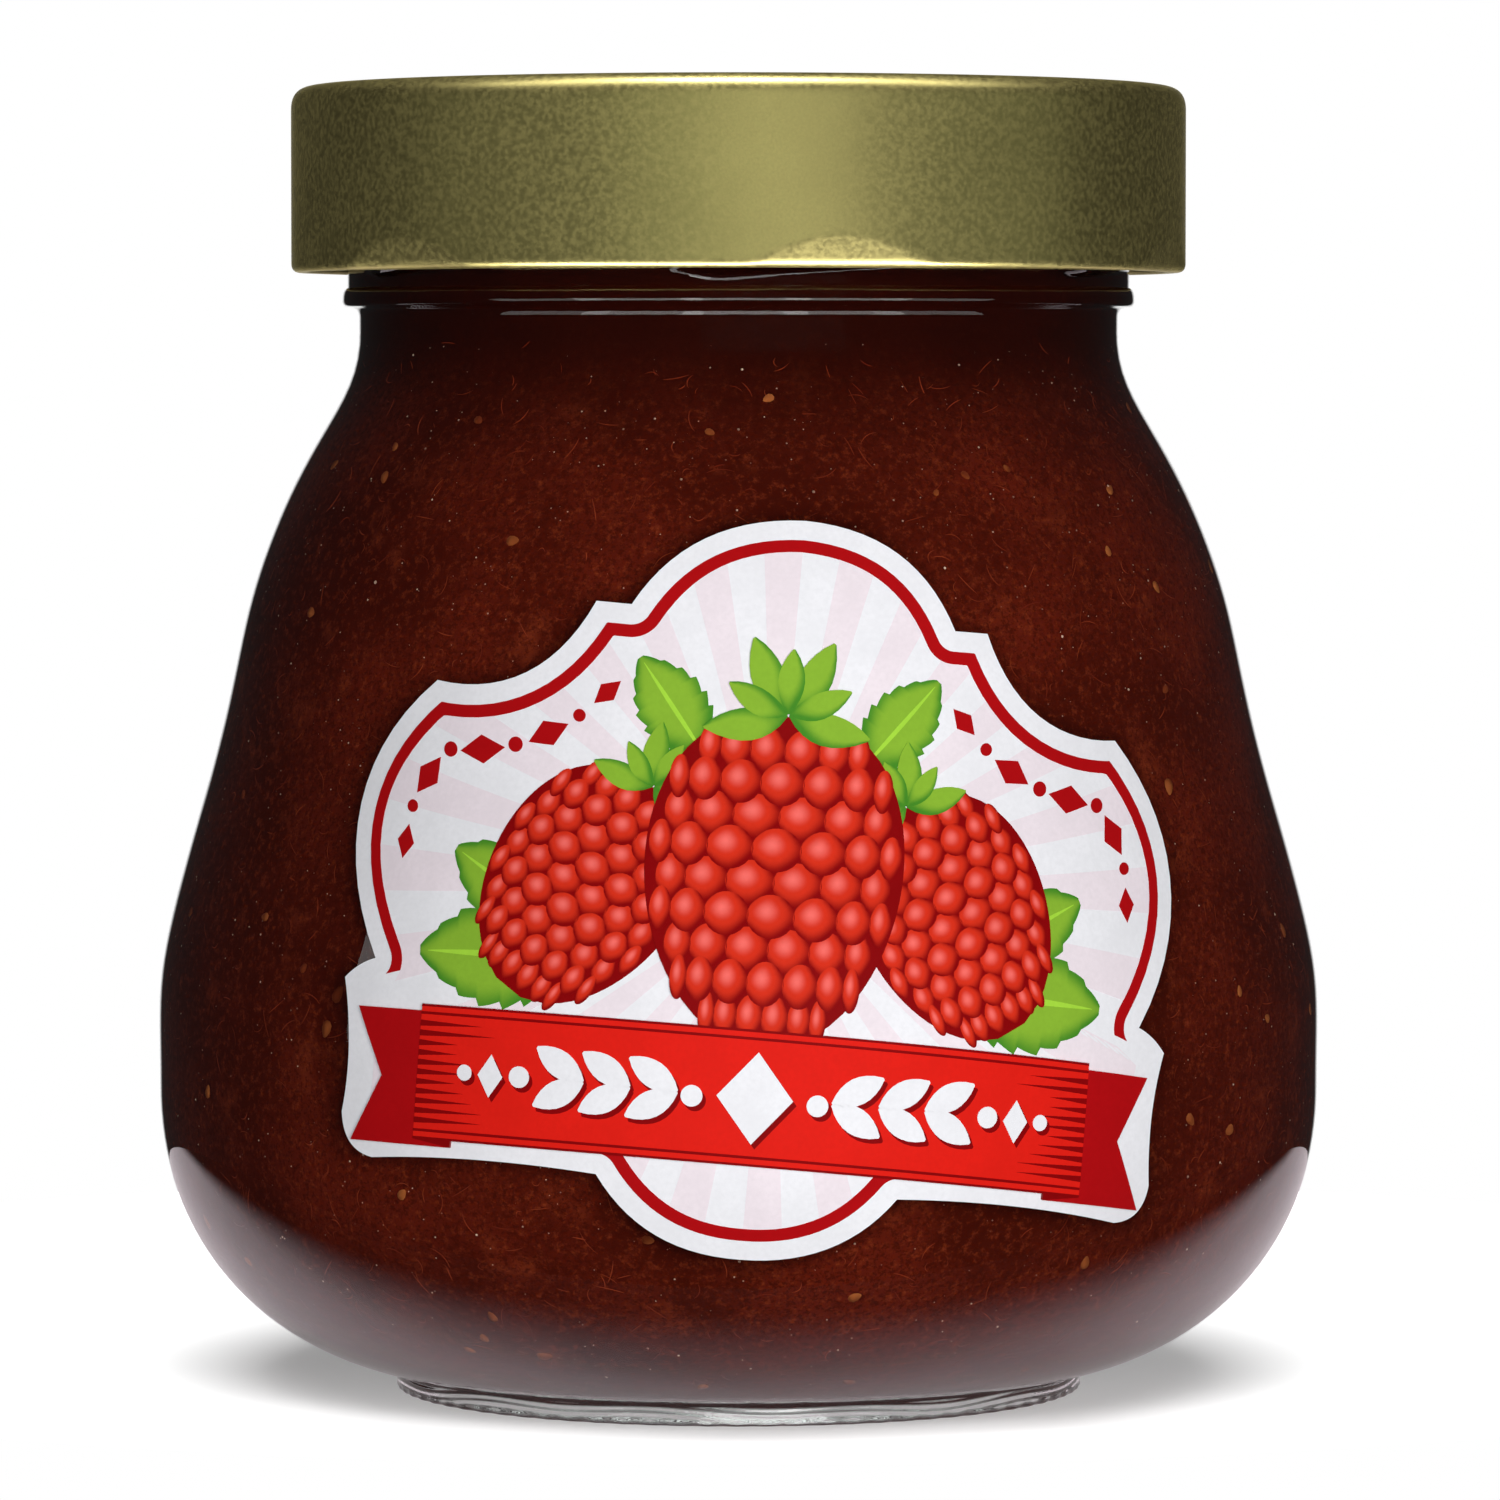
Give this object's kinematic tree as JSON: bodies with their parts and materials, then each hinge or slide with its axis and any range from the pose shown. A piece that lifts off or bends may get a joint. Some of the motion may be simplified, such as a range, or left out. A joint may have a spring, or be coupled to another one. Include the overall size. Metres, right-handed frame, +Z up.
{
  "type": "jam jar",
  "caption": "Pot-bellied clear glass jar filled with dark red fruit jam, shut by a deep twist-off metal lid and carrying a die-cut paper label on its front.",
  "frame": {"origin": "on the jar's axis, at the floor that its foot ring stands on", "axes": "+Z up the jar's axis towards the lid; the label faces -Y; +X to the right seen from the front"},
  "size_m": [0.0908, 0.0912, 0.102],
  "materials": {
    "glass": "clear moulded flint glass, smooth and glossy",
    "jam": null,
    "lid_metal": "satin gold-lacquered tinplate",
    "label_paper": "white coated paper with a red border, plain ribbon and simple fruit shapes"
  },
  "bodies": {
    "root": {"glass_jar": "glass", "jam": "jam", "lid": "lid_metal", "label": "label_paper"}
  },
  "joints": []
}
